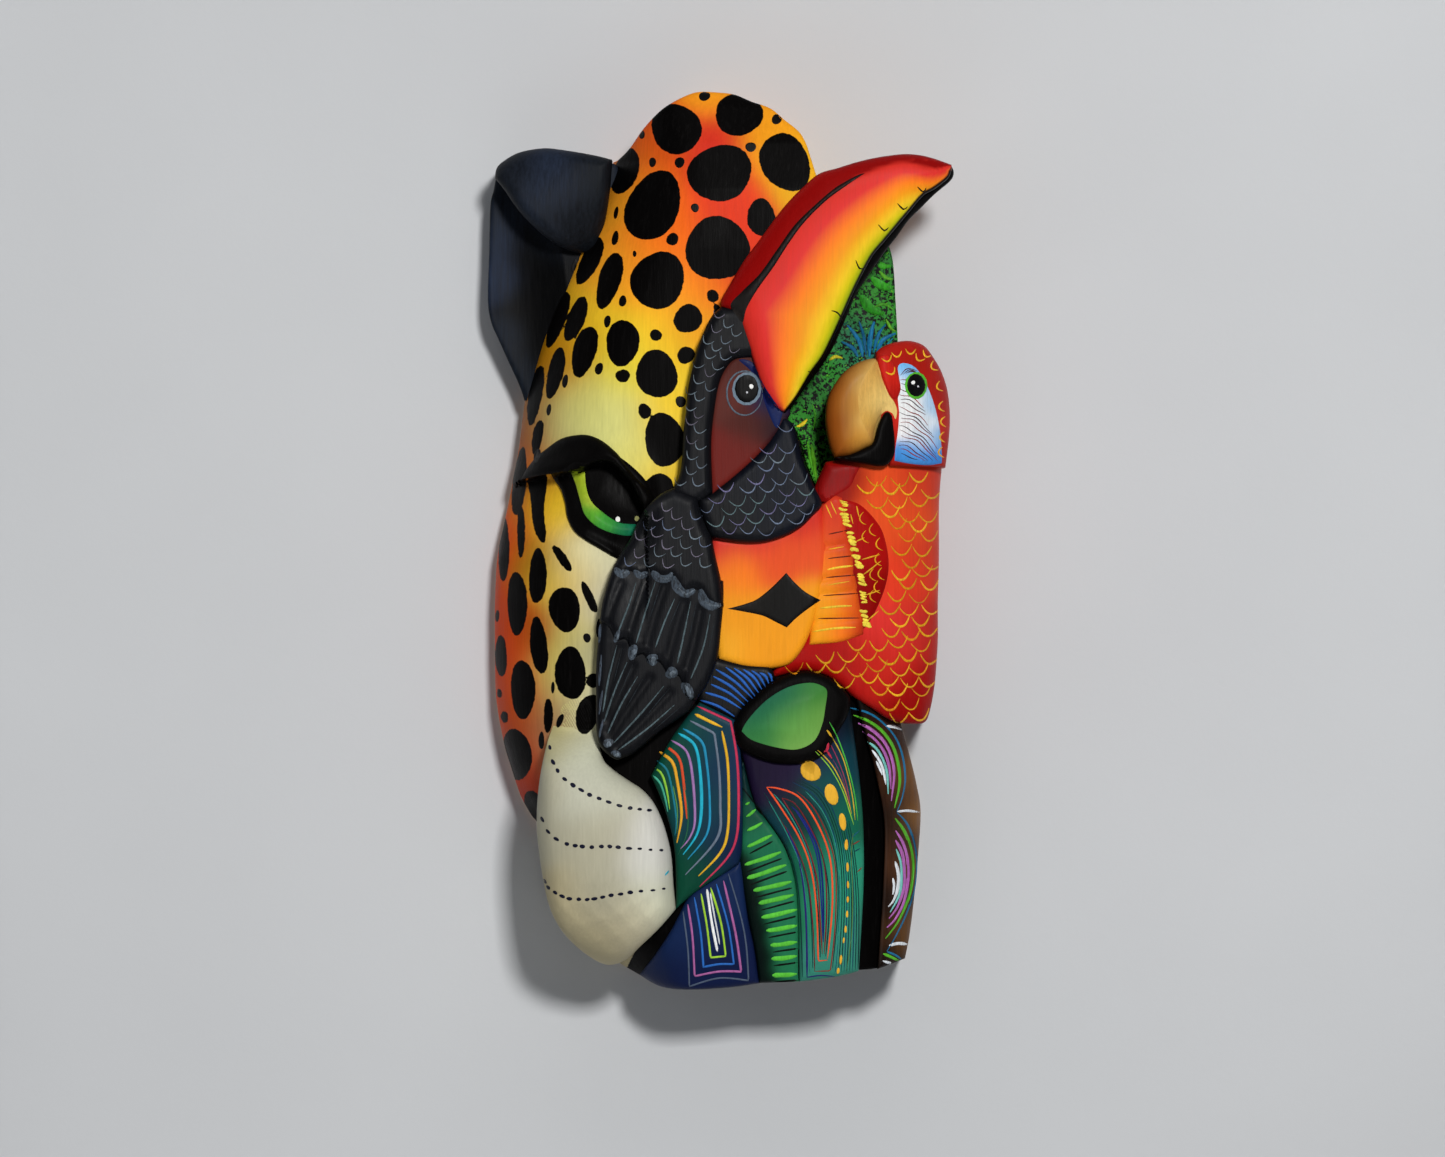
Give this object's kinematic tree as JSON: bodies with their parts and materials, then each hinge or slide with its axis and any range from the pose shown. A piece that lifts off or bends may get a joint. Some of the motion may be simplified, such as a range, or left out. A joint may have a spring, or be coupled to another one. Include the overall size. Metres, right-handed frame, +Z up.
{
  "type": "carved wooden wall mask",
  "caption": "Hollow carved wooden wall mask in painted relief: half a spotted cat's face, a toucan and a macaw, with a keyhole hanger in the back.",
  "frame": {"origin": "centre of the keyhole's round hole, on the back plane that lies on the wall", "axes": "+Z up, +Y into the wall, -Y out of the face, +X to the viewer's right"},
  "size_m": [0.1976, 0.096, 0.3798],
  "materials": {
    "cat_paint": "satin hand-painted wood, orange to yellow with black spots, bare wood inside",
    "ear_paint": "satin navy-black paint on wood",
    "black_paint": "satin black paint on wood",
    "eye_paint": "satin green and black paint on wood",
    "muzzle_paint": "satin cream paint on tool-marked wood",
    "toucan_paint": "satin charcoal paint with grey-blue strokes on wood",
    "toucan_cheek_paint": "satin maroon paint on wood",
    "bill_paint": "satin red, orange and yellow paint on wood",
    "star_paint": "satin orange paint with a black star on wood",
    "macaw_paint": "satin red paint with yellow scale strokes on wood",
    "beak_paint": "satin tan and cream paint on wood",
    "wing_paint": "satin orange paint with yellow lines on wood",
    "lobe_paint": "satin dark red paint on wood",
    "foliage_paint": "speckled green paint on wood",
    "leaf_paint": "satin green paint on wood",
    "ray_paint": "satin blue strokes on dark paint on wood",
    "hex_paint": "satin dark teal paint with coloured lines on wood",
    "nested_paint": "satin navy paint with coloured lines on wood",
    "bar_paint": "satin dark green paint with lime bars on wood",
    "stripe_paint": "satin teal paint with fine dark lines on wood",
    "side_paint": "satin brown paint with coloured arcs on wood",
    "hanger_steel": "zinc-plated steel"
  },
  "bodies": {
    "root": {"mask_shell": "cat_paint", "cat_ear_cup": "ear_paint", "cat_ear_fold": "ear_paint", "cat_brow": "black_paint", "cat_eye": "eye_paint", "cat_muzzle": "muzzle_paint", "toucan_neck": "toucan_paint", "toucan_cheek": "toucan_cheek_paint", "toucan_breast": "toucan_paint", "toucan_upper_bill": "bill_paint", "toucan_lower_bill": "black_paint", "toucan_shoulder": "toucan_paint", "toucan_coverts": "toucan_paint", "toucan_primaries": "toucan_paint", "star_panel": "star_paint", "macaw_head": "macaw_paint", "macaw_upper_beak": "beak_paint", "macaw_lower_beak": "black_paint", "macaw_body": "macaw_paint", "macaw_wing": "wing_paint", "macaw_wing_lobe": "lobe_paint", "foliage_panel": "foliage_paint", "leaf_rim": "black_paint", "leaf_blade": "leaf_paint", "ray_panel": "ray_paint", "hex_panel": "hex_paint", "nested_panel": "nested_paint", "bar_panel": "bar_paint", "stripe_panel": "stripe_paint", "side_panel": "side_paint", "keyhole_plate": "hanger_steel", "hanger_screws": "hanger_steel"}
  },
  "joints": []
}
